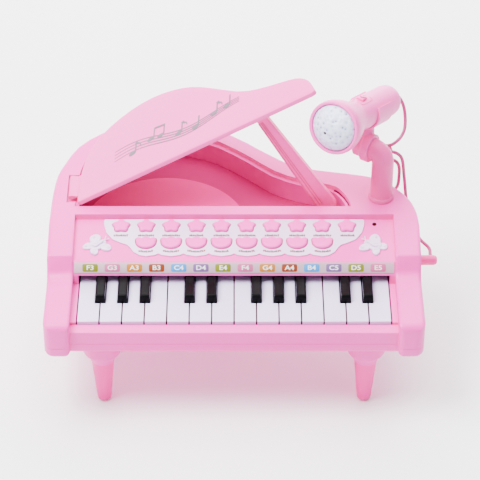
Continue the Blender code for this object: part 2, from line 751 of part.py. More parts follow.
def build_mic_stand():
    """Round post whose top bends over to face along the pivot axis."""
    side = Vector((-PIVOT_AXIS.y, PIVOT_AXIS.x, 0.0))
    foot = Vector((STAND_X, STAND_Y, 0.0))
    start = PIVOT_Z - ELBOW_REACH
    rings = []
    levels = ((156.3, COLLAR_RADIUS), (158.6, COLLAR_RADIUS), (160.0, COLLAR_RADIUS - 0.7),
              (160.8, STAND_RADIUS + 0.3), (162.4, STAND_RADIUS), (start, STAND_RADIUS))
    for height, radius in levels:
        ring = []
        for outward, across in circle(radius, 28):
            ring.append(foot - PIVOT_AXIS * outward + side * across + Vector((0.0, 0.0, height)))
        rings.append(ring)
    for step in range(1, 9):
        angle = math.pi / 2.0 * step / 8.0
        ring = []
        for outward, across in circle(STAND_RADIUS, 28):
            reach = ELBOW_REACH + outward
            along = ELBOW_REACH - reach * math.cos(angle)
            rise = Vector((0.0, 0.0, start + reach * math.sin(angle)))
            ring.append(foot + PIVOT_AXIS * along + side * across + rise)
        rings.append(ring)
    builder = bmesh.new()
    loft(builder, rings)
    add_object("mic_stand", builder, PINK, origin=(STAND_X, STAND_Y, 156.3))


def build_mic_clip():
    """Pivot hub, neck and open sleeve that hold the microphone's handle."""
    builder = bmesh.new()
    half = PIVOT_DISC_HALF
    radius = PIVOT_DISC_RADIUS
    profile = [(0.0, -half), (radius - 0.6, -half), (radius, -half + 0.6), (radius, half - 1.0)]
    profile += [(radius - 1.0, half), (HUB_RADIUS, half), (HUB_RADIUS, HUB_END - 1.4)]
    profile += [(HUB_RADIUS - 1.4, HUB_END), (0.0, HUB_END)]
    revolve(builder, profile, 36, place_along(PIVOT_AXIS, PIVOT))
    clip = add_object("mic_clip", builder, PINK, origin=PIVOT)

    outer = arc((0.0, 0.0), HANDLE_RADIUS + 2.3, 148.0, 392.0, 30)
    inner = arc((0.0, 0.0), HANDLE_RADIUS + GAP, 392.0, 148.0, 30)
    rings = []
    for along_axis, step in ((-36.0, 0.4), (-35.6, 0.0), (-5.4, 0.0), (-5.0, 0.4)):
        outline = inset(outer + inner, step)
        rings.append([MIC_PLACE @ Vector((x, y, along_axis)) for x, y in outline])
    builder = bmesh.new()
    loft(builder, rings)
    sleeve = add_object("clip_sleeve", builder, None, cutter=True)

    base = PIVOT + PIVOT_AXIS * (HUB_END - half) / 2.0
    lean = MIC_PLACE @ Vector((0.0, -HANDLE_RADIUS + 3.0, -14.0)) - base
    sideways = lean.dot(PIVOT_AXIS)
    straight = lean - PIVOT_AXIS * sideways
    across = PIVOT_AXIS.cross(straight.normalized())
    sections = ((0.0, 0.0, 8.4, 10.4), (0.45, 0.15, 8.0, 10.6), (0.80, 0.60, 8.6, 10.0), (1.0, 1.0, 9.6, 10.6))
    rings = []
    for fraction, shift, wide, deep in sections:
        centre = base + straight * fraction + PIVOT_AXIS * (sideways * shift)
        ring = []
        for x, y in circle(1.0, 16, math.pi / 16.0):
            ring.append(centre + PIVOT_AXIS * (wide * x) + across * (deep * y))
        rings.append(ring)
    builder = bmesh.new()
    loft(builder, rings)
    neck = add_object("clip_neck", builder, None, cutter=True)
    boolean(neck, cylinder_cutter("clip_bore", HANDLE_RADIUS + 0.9, MIC_PLACE, -60.0, 20.0, 44))
    boolean(clip, neck, "UNION")
    boolean(clip, sleeve, "UNION")


def build_mic_body():
    builder = bmesh.new()
    tail = MIC_TAIL
    profile = [(0.0, tail), (5.5, tail + 0.3), (10.8, tail + 1.8), (14.2, tail + 4.6)]
    profile += [(16.1, tail + 8.5), (HANDLE_RADIUS, tail + 14.0), (HANDLE_RADIUS, 16.0)]
    profile += [(17.6, 21.5), (19.8, 28.5), (23.4, 38.0), (26.0, 46.0), (27.4, 51.5)]
    profile += [(HEAD_RADIUS, 55.0), (HEAD_RADIUS, 58.5), (27.3, 60.4), (26.0, MIC_RIM)]
    profile += [(24.4, MIC_RIM - 0.6), (23.7, 57.0), (22.0, 57.0), (22.0, 48.5)]
    profile += [(17.0, 28.0), (14.4, 14.0), (14.2, tail + 13.0), (9.4, tail + 5.6), (0.0, tail + 3.6)]
    revolve(builder, profile, 32, MIC_PLACE)
    add_object("mic_body", builder, PINK, origin=MIC_MIDDLE)


def build_mic_grille():
    builder = bmesh.new()
    rim = 57.3
    profile = [(0.0, 72.0), (5.4, 71.5), (10.5, 70.1), (15.2, 67.8), (19.1, 64.7)]
    profile += [(22.0, 61.2), (23.3, 59.2), (23.3, rim), (21.8, rim), (19.9, 61.0)]
    profile += [(17.2, 63.8), (13.0, 66.6), (7.3, 68.8), (0.0, 69.8)]
    revolve(builder, profile, 32, MIC_PLACE)
    add_object("mic_grille", builder, GRILLE, origin=MIC_MIDDLE)


def build_mic_switch():
    builder = bmesh.new()
    rings = []
    low = HANDLE_RADIUS + GAP
    for height, step in ((low, 0.0), (low + 1.5, 0.0), (low + 2.2, 0.6)):
        outline = [(-3.6 + step, -4.5 + step), (3.6 - step, -4.5 + step)]
        outline += [(3.6 - step, 4.5 - step), (-3.6 + step, 4.5 - step)]
        rings.append([MIC_PLACE @ Vector((x, height, t + SWITCH_T)) for x, t in outline])
    loft(builder, rings)
    origin = MIC_PLACE @ Vector((0.0, low, SWITCH_T))
    add_object("mic_switch", builder, DEEP_PINK, origin=origin)


# ---------------------------------------------------------------- cord and plug
TAIL_POINT = MIC_MIDDLE + MIC_AXIS * (MIC_TAIL - GAP)
CORD_STATIONS = [
    tuple(TAIL_POINT), tuple(TAIL_POINT - MIC_AXIS * 9.0), (173.4, 101.6, 224.4),
    (178.2, 101.2, 214.0), (180.0, 94.4, 204.4), (179.0, 82.6, 198.4), (175.0, 71.0, 197.0),
    (169.8, 60.6, 198.2), (163.6, 53.6, 198.6), (157.0, 51.8, 198.0), (151.7, 51.5, 195.8),
    (149.5, 51.2, 190.5), (151.7, 50.9, 185.2), (157.0, 50.4, 183.0), (164.0, 49.4, 182.6),
    (169.6, 48.0, 180.2), (172.2, 46.8, 174.4), (172.6, 45.8, 165.0), (172.0, 45.4, 153.6),
    (169.4, 47.0, 146.0), (163.6, 50.8, 142.6), (157.8, 54.8, 146.0), (155.2, 56.4, 153.4),
    (154.6, 55.2, 163.0), (153.6, 51.5, 171.6), (151.4, 46.4, 178.8), (149.8, 43.2, 184.8),
    (149.5, 42.2, 190.5), (151.7, 42.0, 195.8), (157.0, 42.0, 198.0), (163.4, 42.4, 197.8),
    (169.0, 43.0, 195.2), (173.2, 43.6, 190.4), (175.4, 43.8, 183.6), (176.9, 43.2, 172.0),
    (178.6, 41.2, 158.0), (180.2, 38.0, 144.0), (182.8, 34.0, 131.0), (186.8, 28.8, 121.0),
    (190.4, 23.2, 114.0), (192.7, 17.0, 110.2), (194.4, 10.8, 108.2), (198.4, 5.0, 107.0),
    (202.6, -0.5, 106.3), (PLUG_CORD_X, -6.0, PLUG_Z), (PLUG_CORD_X, -11.5, PLUG_Z),
    (PLUG_CORD_X, PLUG_Y + PLUG_RADIUS + 0.6, PLUG_Z)]


def even_points(points, spacing):
    lengths = [0.0]
    for first, second in zip(points[:-1], points[1:]):
        lengths.append(lengths[-1] + (Vector(second) - Vector(first)).length)
    count = max(2, round(lengths[-1] / spacing))
    result = []
    index = 0
    for step in range(count + 1):
        target = lengths[-1] * step / count
        while index < len(points) - 2 and lengths[index + 1] < target:
            index += 1
        span = lengths[index + 1] - lengths[index]
        share = (target - lengths[index]) / span if span > 0 else 0.0
        result.append(Vector(points[index]).lerp(Vector(points[index + 1]), share))
    return result


def build_cord():
    path = even_points(smooth_chain(CORD_STATIONS, 8), 6.5)
    curve = bpy.data.curves.new("mic_cord_path", "CURVE")
    curve.dimensions = "3D"
    curve.bevel_depth = CORD_RADIUS * MM
    curve.bevel_resolution = 2
    curve.use_fill_caps = True
    spline = curve.splines.new("POLY")
    spline.points.add(len(path) - 1)
    for point, position in zip(spline.points, path):
        point.co = (*(position * MM), 1.0)
    cord = bpy.data.objects.new("mic_cord", curve)
    curve.materials.append(CORD_PINK)
    parts.objects.link(cord)


def build_plug():
    place = place_along((1.0, 0.0, 0.0), (0.0, PLUG_Y, PLUG_Z))
    face = HALF_WIDTH + 0.4
    builder = bmesh.new()
    profile = [(0.0, 176.0), (1.2, 176.2), (PIN_RADIUS, 178.0), (PIN_RADIUS, face)]
    profile += [(PLUG_RADIUS - 0.4, face), (PLUG_RADIUS, face + 0.6), (PLUG_RADIUS, 207.0)]
    profile += [(4.7, 209.2), (3.2, 210.6), (0.0, PLUG_OUT)]
    revolve(builder, profile, 28, place)
    plug = add_object("mic_plug", builder, CORD_PINK, origin=(face, PLUG_Y, PLUG_Z))
    place = place_along((0.0, 1.0, 0.0), (PLUG_CORD_X, PLUG_Y, PLUG_Z))
    builder = bmesh.new()
    profile = [(0.0, 1.0), (2.6, 1.0), (2.3, PLUG_RADIUS + GAP), (0.0, PLUG_RADIUS + GAP)]
    revolve(builder, profile, 20, place)
    sleeve = add_object("plug_sleeve", builder, None, cutter=True)
    boolean(plug, sleeve, "UNION")


# ---------------------------------------------------------------- inside pieces
def build_inside():
    builder = bmesh.new()
    outline = [(-126.0, 8.0), (150.0, 8.0), (150.0, 53.5), (-126.0, 53.5)]
    panel_prism(builder, outline, -9.8, -8.2)
    add_object("circuit_board", builder, BOARD, origin=on_panel(0.0, 30.0, -9.0))

    builder = bmesh.new()
    profile = [(0.0, 88.0), (14.0, 88.0), (14.0, 96.0), (19.0, 97.5), (25.0, 106.0)]
    profile += [(28.0, 106.0), (28.0, 108.0), (25.5, 108.0), (20.0, 101.0), (7.0, 100.0), (0.0, 102.0)]
    revolve(builder, profile, 24, Matrix.Translation((40.0, 40.0, 0.0)))
    add_object("speaker", builder, DARK, origin=(40.0, 40.0, 88.0))

    low = (-112.0 + GAP, 6.0 + GAP, FLOOR_OF_CASE)
    high = (-18.0 - GAP, 72.0 - GAP, FLOOR_OF_CASE + 2.6)
    box("battery_cover", low, high, PINK, origin=(-65.0, 39.0, FLOOR_OF_CASE))


build_upper_case()
build_lower_case()
build_legs()
build_white_keys()
build_black_keys()
build_control_plate()
build_buttons()
build_lid()
build_prop()
build_mic_stand()
build_mic_clip()
build_mic_body()
build_mic_grille()
build_mic_switch()
build_cord()
build_plug()
build_inside()
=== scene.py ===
"""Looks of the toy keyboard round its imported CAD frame.

Shapes are written in millimetres and scaled by M to metres. Lights and camera are in metres.
"""

import math

import bmesh
import bpy
from mathutils import Matrix, Vector


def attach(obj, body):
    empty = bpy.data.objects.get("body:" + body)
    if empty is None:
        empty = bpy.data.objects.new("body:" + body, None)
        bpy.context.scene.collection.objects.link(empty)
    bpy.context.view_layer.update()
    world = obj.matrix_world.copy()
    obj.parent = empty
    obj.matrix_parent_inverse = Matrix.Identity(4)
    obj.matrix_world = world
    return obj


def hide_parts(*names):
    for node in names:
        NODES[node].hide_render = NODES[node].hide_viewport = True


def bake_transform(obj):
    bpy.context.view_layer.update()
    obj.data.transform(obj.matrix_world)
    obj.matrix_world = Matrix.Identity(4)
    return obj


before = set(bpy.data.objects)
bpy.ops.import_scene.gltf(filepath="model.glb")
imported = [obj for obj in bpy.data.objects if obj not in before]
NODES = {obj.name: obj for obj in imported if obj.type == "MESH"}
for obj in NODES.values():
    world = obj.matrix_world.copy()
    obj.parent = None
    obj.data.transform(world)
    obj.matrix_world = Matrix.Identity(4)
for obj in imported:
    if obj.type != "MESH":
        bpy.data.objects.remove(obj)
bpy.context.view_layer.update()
M = 0.001


# ------------------------------------------------------------------ materials
def new_material(name):
    made = bpy.data.materials.new(name)
    made.use_nodes = True
    tree = made.node_tree
    shader = tree.nodes["Principled BSDF"]
    return made, tree, shader


def link(tree, source, target):
    tree.links.new(source, target)


def plastic(name, colour, rough=0.33, vary=0.04, grain=0.02, coat=0.0, shine=0.5):
    """Moulded plastic: slight drift of tone and gloss, and a fine mould grain."""
    made, tree, shader = new_material(name)
    nodes = tree.nodes
    place = nodes.new("ShaderNodeTexCoord")
    drift = nodes.new("ShaderNodeTexNoise")
    drift.inputs["Scale"].default_value = 14.0
    drift.inputs["Detail"].default_value = 3.0
    link(tree, place.outputs["Object"], drift.inputs["Vector"])
    ramp = nodes.new("ShaderNodeValToRGB")
    darker = [channel * (1.0 - vary) for channel in colour]
    lighter = [min(1.0, channel * (1.0 + vary * 0.6)) for channel in colour]
    ramp.color_ramp.elements[0].position = 0.3
    ramp.color_ramp.elements[1].position = 0.7
    ramp.color_ramp.elements[0].color = (*darker, 1.0)
    ramp.color_ramp.elements[1].color = (*lighter, 1.0)
    link(tree, drift.outputs["Fac"], ramp.inputs["Fac"])
    link(tree, ramp.outputs["Color"], shader.inputs["Base Color"])
    gloss = nodes.new("ShaderNodeMapRange")
    gloss.inputs["To Min"].default_value = rough - 0.04
    gloss.inputs["To Max"].default_value = rough + 0.05
    link(tree, drift.outputs["Fac"], gloss.inputs["Value"])
    link(tree, gloss.outputs["Result"], shader.inputs["Roughness"])
    fine = nodes.new("ShaderNodeTexNoise")
    fine.inputs["Scale"].default_value = 1100.0
    fine.inputs["Detail"].default_value = 2.0
    link(tree, place.outputs["Object"], fine.inputs["Vector"])
    bump = nodes.new("ShaderNodeBump")
    bump.inputs["Strength"].default_value = grain
    bump.inputs["Distance"].default_value = 0.0004
    link(tree, fine.outputs["Fac"], bump.inputs["Height"])
    link(tree, bump.outputs["Normal"], shader.inputs["Normal"])
    shader.inputs["Coat Weight"].default_value = coat
    shader.inputs["Coat Roughness"].default_value = 0.12
    shader.inputs["Specular IOR Level"].default_value = shine
    return made


def grille_material():
    """Pale moulded dome with shallow dimples, painted darker towards each dimple's middle as shade, and
    a few small dark sound holes.
    """
    made, tree, shader = new_material("grille_dimpled")
    nodes = tree.nodes
    place = nodes.new("ShaderNodeTexCoord")
    cells = nodes.new("ShaderNodeTexVoronoi")
    cells.inputs["Scale"].default_value = 210.0
    cells.inputs["Randomness"].default_value = 0.75
    link(tree, place.outputs["Object"], cells.inputs["Vector"])
    bump = nodes.new("ShaderNodeBump")
    bump.inputs["Strength"].default_value = 0.8
    bump.inputs["Distance"].default_value = 0.0013
    link(tree, cells.outputs["Distance"], bump.inputs["Height"])
    link(tree, bump.outputs["Normal"], shader.inputs["Normal"])
    # Painted shade: near black at each cell's middle for the sound holes, then darker towards the middle
    # of each dimple and lighter on the crests between them.
    ramp = nodes.new("ShaderNodeValToRGB")
    ramp.color_ramp.elements[0].position = 0.09
    ramp.color_ramp.elements[0].color = (0.05, 0.05, 0.08, 1.0)
    ramp.color_ramp.elements[1].position = 0.16
    ramp.color_ramp.elements[1].color = (0.46, 0.48, 0.72, 1.0)
    crest = ramp.color_ramp.elements.new(0.50)
    crest.color = (0.70, 0.72, 0.95, 1.0)
    link(tree, cells.outputs["Distance"], ramp.inputs["Fac"])
    link(tree, ramp.outputs["Color"], shader.inputs["Base Color"])
    shader.inputs["Roughness"].default_value = 0.32
    return made


def edge_shadow(made):
    """Darkens the last half millimetre at both long sides of a key, beside the gaps."""
    tree = made.node_tree
    nodes = tree.nodes
    shader = nodes["Principled BSDF"]
    place = nodes.new("ShaderNodeTexCoord")
    apart = nodes.new("ShaderNodeSeparateXYZ")
    link(tree, place.outputs["Generated"], apart.inputs["Vector"])
    ramp = nodes.new("ShaderNodeValToRGB")
    stops = ramp.color_ramp.elements
    stops[0].position = 0.018
    stops[0].color = (1.0, 1.0, 1.0, 1.0)
    stops[1].position = 0.982
    stops[1].color = (1.0, 1.0, 1.0, 1.0)
    for position in (0.030, 0.970):
        stop = stops.new(position)
        stop.color = (0.0, 0.0, 0.0, 1.0)
    link(tree, apart.outputs["X"], ramp.inputs["Fac"])
    blend = nodes.new("ShaderNodeMix")
    blend.data_type = "RGBA"
    before = shader.inputs["Base Color"].links[0].from_socket
    link(tree, ramp.outputs["Color"], blend.inputs[0])
    link(tree, before, blend.inputs[6])
    blend.inputs[7].default_value = (0.06, 0.012, 0.02, 1.0)
    link(tree, blend.outputs[2], shader.inputs["Base Color"])


def linear(red, green, blue):
    """Linear colour of an sRGB value given from 0 to 255."""
    result = []
    for value in (red, green, blue):
        share = value / 255.0
        if share <= 0.04045:
            result.append(share / 12.92)
        else:
            result.append(((share + 0.055) / 1.055) ** 2.4)
    return tuple(result)


# Each finish: name, linear colour, roughness, drift of tone, grain, and where needed coat and shine.
PINK = plastic("pink_body", (0.865, 0.049, 0.429), 0.36, 0.02, 0.015, shine=0.28)
LID_PINK = plastic("pink_lid", (0.858, 0.073, 0.401), 0.40, 0.02, 0.02, shine=0.28)
PANEL_PINK = plastic("pink_button", (0.932, 0.060, 0.501), 0.36, 0.02, 0.01, shine=0.28)
PROP_PINK = plastic("pink_prop", (0.950, 0.039, 0.394), 0.38, 0.02, 0.015, shine=0.28)
# Painted shade: the prop's ribs are drawn a darker pink than the prop, for the shade along the ridges.
RIB_SHADE_PINK = plastic("pink_rib_shade", (0.72, 0.018, 0.22), 0.45, 0.03, 0.015, shine=0.28)
# Painted shade: dark pink for the thin rings in the gaps round the buttons.
BUTTON_GAP_SHADE = plastic("pink_gap_shade", (0.38, 0.010, 0.09), 0.5, 0.03, 0.01, shine=0.2)
# Painted shade: dark red for the strip in the corner at the right end of the well.
WELL_CORNER_SHADE = plastic("red_corner_shade", (0.11, 0.002, 0.012), 0.5, 0.03, 0.01, shine=0.1)
STAND_PINK = plastic("pink_stand", (0.834, 0.069, 0.362), 0.38, 0.03, 0.015, shine=0.28)
MIC_PINK = plastic("pink_mic", (0.93, 0.095, 0.47), 0.36, 0.02, 0.015, shine=0.28)
# Painted shade: the well's platform, walls and floor are darker pinks than the case, the floor darkest,
# to shade the hollow.
WELL_PLATFORM_SHADE = plastic("pink_well", (0.760, 0.0020, 0.262), 0.55, 0.05, 0.02, shine=0.05)
WELL_WALL_SHADE = plastic("pink_well_wall", (0.780, 0.0200, 0.400), 0.55, 0.05, 0.02, shine=0.05)
WELL_FLOOR_SHADE = plastic("pink_well_floor", (0.440, 0.0020, 0.135), 0.55, 0.05, 0.02, shine=0.05)
LEG_PINK = plastic("pink_leg", (0.950, 0.021, 0.356), 0.36, 0.03, 0.02, shine=0.28)
KEY_WHITE = plastic("key_white", (0.639, 0.545, 0.799), 0.24, 0.02, 0.01, 0.3)
# Painted shade: near black for the white keys' side faces, so the narrow gaps between keys look dark.
KEY_GAP_SHADE = plastic("key_side_shade", (0.06, 0.012, 0.02), 0.5, 0.04, 0.01)
KEY_BLACK = plastic("key_black", (0.002, 0.0018, 0.0024), 0.24, 0.10, 0.01, shine=0.06)
PLATE_WHITE = plastic("plate_white", (0.749, 0.548, 0.808), 0.32, 0.02, 0.01, 0.2)
STRIP_GREY = plastic("strip_grey", (0.556, 0.388, 0.456), 0.4, 0.02, 0.01)
CORD_PINK = plastic("cord_vinyl", (0.50, 0.010, 0.19), 0.45, 0.06, 0.05)
PLUG_PINK = plastic("plug_vinyl", (0.950, 0.0049, 0.331), 0.42, 0.04, 0.04)
FELT_RED = plastic("felt_red", (0.10, 0.004, 0.008), 0.85, 0.2, 0.6)
MARK_RED = plastic("mark_red", (0.15, 0.001, 0.008), 0.5, 0.05, 0.01)
SILVER = plastic("print_silver", (0.105, 0.075, 0.10), 0.35, 0.06, 0.01)
LAMP_RED = plastic("lamp_red", (0.05, 0.001, 0.003), 0.45, 0.1, 0.01, shine=0.05)
BOARD = plastic("board_green", linear(30, 96, 54), 0.5, 0.08, 0.05)
CONE = plastic("cone_black", linear(38, 36, 40), 0.7, 0.1, 0.1)
DARK_HOLE = plastic("hole_dark", (0.02, 0.006, 0.01), 0.7, 0.1, 0.02, shine=0.1)
GRILLE = grille_material()
edge_shadow(KEY_WHITE)
CHIP_COLOURS = [(0.1632, 0.1853, 0.0019), (0.5323, 0.0872, 0.2457), (0.4600, 0.1550, 0.0008),
                (0.2252, 0.0317, 0.0008), (0.0211, 0.2439, 0.6566), (0.1670, 0.0797, 0.2424)]
CHIPS = []
for number, colour in enumerate(CHIP_COLOURS):
    CHIPS.append(plastic("chip_%d" % number, colour, 0.4, 0.03, 0.01))
LETTER = plastic("letter_white", (0.92, 0.90, 0.92), 0.4, 0.01, 0.01)


# ------------------------------------------------------------------ mesh tools
def finish_mesh(name, builder, look, body="body", smooth=40.0):
    """Turns the builder's mesh into an object in metres that rides on the given body, if any."""
    bmesh.ops.remove_doubles(builder, verts=builder.verts, dist=0.002)
    bmesh.ops.recalc_face_normals(builder, faces=builder.faces)
    for vertex in builder.verts:
        vertex.co = vertex.co * M
    mesh = bpy.data.meshes.new(name)
    builder.to_mesh(mesh)
    builder.free()
    mesh.materials.append(look)
    made = bpy.data.objects.new(name, mesh)
    bpy.context.scene.collection.objects.link(made)
    if smooth:
        mesh.shade_smooth()
        mesh.set_sharp_from_angle(angle=math.radians(smooth))
    if body:
        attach(made, body)
    return made


def skin(builder, low, high):
    """Side faces between two closed rings with equal numbers of vertices."""
    for index in range(len(low)):
        after = (index + 1) % len(low)
        builder.faces.new((low[index], low[after], high[after], high[index]))


def skins(builder, rings):
    """Vertices of the rings, with the sides between each pair of neighbours."""
    rows = [[builder.verts.new(Vector(p)) for p in ring] for ring in rings]
    for low, high in zip(rows[:-1], rows[1:]):
        skin(builder, low, high)
    return rows


def loft(builder, rings):
    """Closed solid through the rings, with flat ends."""
    rows = skins(builder, rings)
    builder.faces.new(list(reversed(rows[0])))
    builder.faces.new(rows[-1])


def dome(builder, rings, tip):
    """Lofted rings closed by a fan to one tip point, with a flat base."""
    rows = skins(builder, rings)
    top = builder.verts.new(Vector(tip))
    last = rows[-1]
    for index in range(len(last)):
        builder.faces.new((last[index], last[(index + 1) % len(last)], top))
    builder.faces.new(list(reversed(rows[0])))


def hoop(builder, rings):
    """Closed band whose last ring joins its first."""
    rows = skins(builder, rings)
    skin(builder, rows[-1], rows[0])


def revolve(builder, profile, count, place):
    """Turned solid from (radius, height) pairs about the axis of the given place."""
    rows = []
    for radius, height in profile:
        if radius < 1e-6:
            rows.append([builder.verts.new(place @ Vector((0.0, 0.0, height)))])
            continue
        ring = []
        for index in range(count):
            angle = 2.0 * math.pi * index / count
            point = Vector((radius * math.cos(angle), radius * math.sin(angle), height))
            ring.append(builder.verts.new(place @ point))
        rows.append(ring)
    for low, high in zip(rows[:-1], rows[1:]):
        if len(low) > 1 and len(high) > 1:
            skin(builder, low, high)
            continue
        for index in range(count):
            after = (index + 1) % count
            if len(low) == 1:
                builder.faces.new((low[0], high[after], high[index]))
            else:
                builder.faces.new((low[index], low[after], high[0]))


def arc(centre, radius, start, end, steps):
    """Points of a circular arc between two angles in degrees."""
    points = []
    for step in range(steps + 1):
        angle = math.radians(start + (end - start) * step / steps)
        points.append((centre[0] + radius * math.cos(angle), centre[1] + radius * math.sin(angle)))
    return points


def inset(outline, distance):
    """Outline moved inwards by a distance."""
    result = []
    count = len(outline)
    for index in range(count):
        before = Vector(outline[index - 1])
        here = Vector(outline[index])
        after = Vector(outline[(index + 1) % count])
        first = (here - before).normalized()
        second = (after - here).normalized()
        n1 = Vector((-first.y, first.x))
        n2 = Vector((-second.y, second.x))
        moved = here + (n1 + n2) * (distance / max(0.3, 1.0 + n1.dot(n2)))
        result.append((moved.x, moved.y))
    return result


def smooth_chain(points, steps):
    """Smooth curve through the points, with a number of steps between each two."""
    chain = [points[0]] + list(points) + [points[-1]]
    result = []
    for index in range(1, len(chain) - 2):
        p0, p1, p2, p3 = [Vector(chain[index + shift]) for shift in (-1, 0, 1, 2)]
        for step in range(steps):
            t = step / steps
            value = 2.0 * p1 + (p2 - p0) * t
            value += (2.0 * p0 - 5.0 * p1 + 4.0 * p2 - p3) * t * t
            value += (3.0 * p1 - p0 - 3.0 * p2 + p3) * t * t * t
            result.append(tuple(value * 0.5))
    result.append(tuple(points[-1]))
    return result


def place_along(axis, origin):
    """Place whose local z runs along the axis and whose local y leans upwards."""
    forward = Vector(axis).normalized()
    up = Vector((0.0, 0.0, 1.0))
    if abs(forward.dot(up)) > 0.99:
        up = Vector((0.0, 1.0, 0.0))
    upward = (up - forward * up.dot(forward)).normalized()
    side = upward.cross(forward)
    matrix = Matrix((side, upward, forward)).transposed().to_4x4()
    matrix.translation = Vector(origin)
    return matrix


SLOPE = math.radians(11.0)
PANEL_L = Vector((0.0, math.cos(SLOPE), math.sin(SLOPE)))
PANEL_W = Vector((0.0, -math.sin(SLOPE), math.cos(SLOPE)))
PANEL_O = Vector((0.0, -63.5, 138.5))
STRIP_LOW = Vector((0.0, -70.5, 128.0))
STRIP_HIGH = Vector((0.0, -64.7, 138.1))


def on_panel(x, along, out):
    """Point on the sloping control panel."""
    return PANEL_O + Vector((x, 0.0, 0.0)) + PANEL_L * along + PANEL_W * out


STRIP_L = (STRIP_HIGH - STRIP_LOW).normalized()
STRIP_W = Vector((0.0, -STRIP_L.z, STRIP_L.y))


def on_strip(x, along, out):
    """Point on the steep note strip between the panel and the keys."""
    return STRIP_LOW + Vector((x, 0.0, 0.0)) + STRIP_L * along + STRIP_W * out


def slab(builder, where, outline, low, high, edge):
    """Plate with a rounded upper edge on the surface that where() describes."""
    rings = []
    steps = [(low, 0.0), (high - edge, 0.0), (high - edge * 0.3, edge * 0.3), (high, edge)]
    for height, step in steps:
        rings.append([where(x, y, height) for x, y in inset(outline, step)])
    loft(builder, rings)


def rounded_box(x0, y0, x1, y1, radius, steps=4):
    """Outline of a rectangle with round corners."""
    points = arc((x1 - radius, y0 + radius), radius, 270.0, 360.0, steps)
    points += arc((x1 - radius, y1 - radius), radius, 0.0, 90.0, steps)
    points += arc((x0 + radius, y1 - radius), radius, 90.0, 180.0, steps)
    points += arc((x0 + radius, y0 + radius), radius, 180.0, 270.0, steps)
    return points


CREASE = math.radians(32.0)


def soften(name, width):
    """Joins a key's flat faces and rounds its edges."""
    node = NODES[name]
    flat = node.modifiers.new("flat", "DECIMATE")
    flat.decimate_type = "DISSOLVE"
    flat.angle_limit = math.radians(2.0)
    flat.delimit = {"MATERIAL"}
    step = node.modifiers.new("edge", "BEVEL")
    step.width = width * M
    step.segments = 2
    step.limit_method = "ANGLE"
    step.angle_limit = CREASE
    step.harden_normals = True


def dress(name, look, creased=True):
    """Gives a CAD node its finish, joins its loose triangles and shades its curves smoothly."""
    node = NODES[name]
    mesh = node.data
    mesh.materials.clear()
    mesh.materials.append(look)
    flat = mesh.attributes.get("custom_normal")
    if flat is not None:
        mesh.attributes.remove(flat)
    mesh.shade_smooth()
    join = node.modifiers.new("join", "WELD")
    join.merge_threshold = 0.01 * M
    if creased:
        crease = node.modifiers.new("crease", "EDGE_SPLIT")
        crease.split_angle = CREASE
        crease.use_edge_sharp = False
        even = node.modifiers.new("even", "WEIGHTED_NORMAL")
        even.weight = 80
    return node


# ------------------------------------------------------------------ CAD pieces
FINISHES = {
    "upper_case": PINK, "lower_case": PINK, "battery_cover": PINK, "lid": LID_PINK,
    "prop_stick": PROP_PINK, "leg_front_left": LEG_PINK, "leg_front_right": LEG_PINK,
    "leg_rear": LEG_PINK, "control_plate": PLATE_WHITE, "mic_stand": STAND_PINK,
    "mic_clip": MIC_PINK, "mic_body": MIC_PINK, "mic_switch": LEG_PINK, "mic_grille": GRILLE,
    "mic_plug": PLUG_PINK, "circuit_board": BOARD, "speaker": CONE}
for name in NODES:
    if name.startswith("key_white"):
        key = dress(name, KEY_WHITE, False)
        key.data.materials.append(KEY_GAP_SHADE)
        # Faces turned towards the neighbouring keys take the near-black painted shade of the gaps.
        for polygon in key.data.polygons:
            if abs(polygon.normal.x) > 0.9:
                polygon.material_index = 1
        soften(name, 0.45)
    elif name.startswith("key_black"):
        dress(name, KEY_BLACK, False)
        soften(name, 0.5)
    elif name in FINISHES:
        dress(name, FINISHES[name])

# The well is painted in a deeper pink than the case round it, as painted shade in the hollow: its
# platform, its walls and its floor each have their own depth of painted shade, the floor darkest. A wall
# face belongs to the well if the case has material below it.
case = NODES["upper_case"]
for look in (WELL_PLATFORM_SHADE, WELL_WALL_SHADE, WELL_FLOOR_SHADE):
    case.data.materials.append(look)
PLATFORM_SLOT, WALL_SLOT, FLOOR_SLOT = 1, 2, 3
PLATFORM_Z = 133.0
DOWN = Vector((0.0, 0.0, -1.0))
for polygon in case.data.polygons:
    centre = polygon.center / M
    facing = polygon.normal
    inside = -166.0 < centre.x < 122.0 and 5.0 < centre.y < 140.0
    if inside and 127.0 < centre.z < 150.6 and facing.z > -0.2:
        layer = PLATFORM_SLOT if centre.z > PLATFORM_Z else FLOOR_SLOT
        if facing.z < 0.5:
            start = polygon.center + Vector((facing.x, facing.y, 0.0)).normalized() * 0.5 * M
            inside = case.ray_cast(start, DOWN)[0]
            layer = WALL_SLOT
        if inside:
            polygon.material_index = layer


# ------------------------------------------------------------------ note strip
KEY_PITCH = 22.5
NOTE_NAMES = ("F3", "G3", "A3", "B3", "C4", "D4", "E4", "F4", "G4", "A4", "B4", "C5", "D5", "E5")


def build_strip():
    """Grey strip with a coloured chip and a note name over each white key."""
    builder = bmesh.new()
    slab(builder, on_strip, rounded_box(-162.6, 0.4, 162.6, 11.3, 0.6, 2), 0.02, 0.5, 0.2)
    finish_mesh("note_strip", builder, STRIP_GREY)
    for index, label in enumerate(NOTE_NAMES):
        x = (index - (len(NOTE_NAMES) - 1) / 2.0) * KEY_PITCH
        builder = bmesh.new()
        slab(builder, on_strip, rounded_box(x - 7.8, 1.9, x + 7.8, 9.7, 1.5), 0.4, 0.8, 0.15)
        finish_mesh("note_chip_%02d" % (index + 1), builder, CHIPS[index % len(CHIPS)])
        letters(label, x, 5.8, "note_name_%02d" % (index + 1))


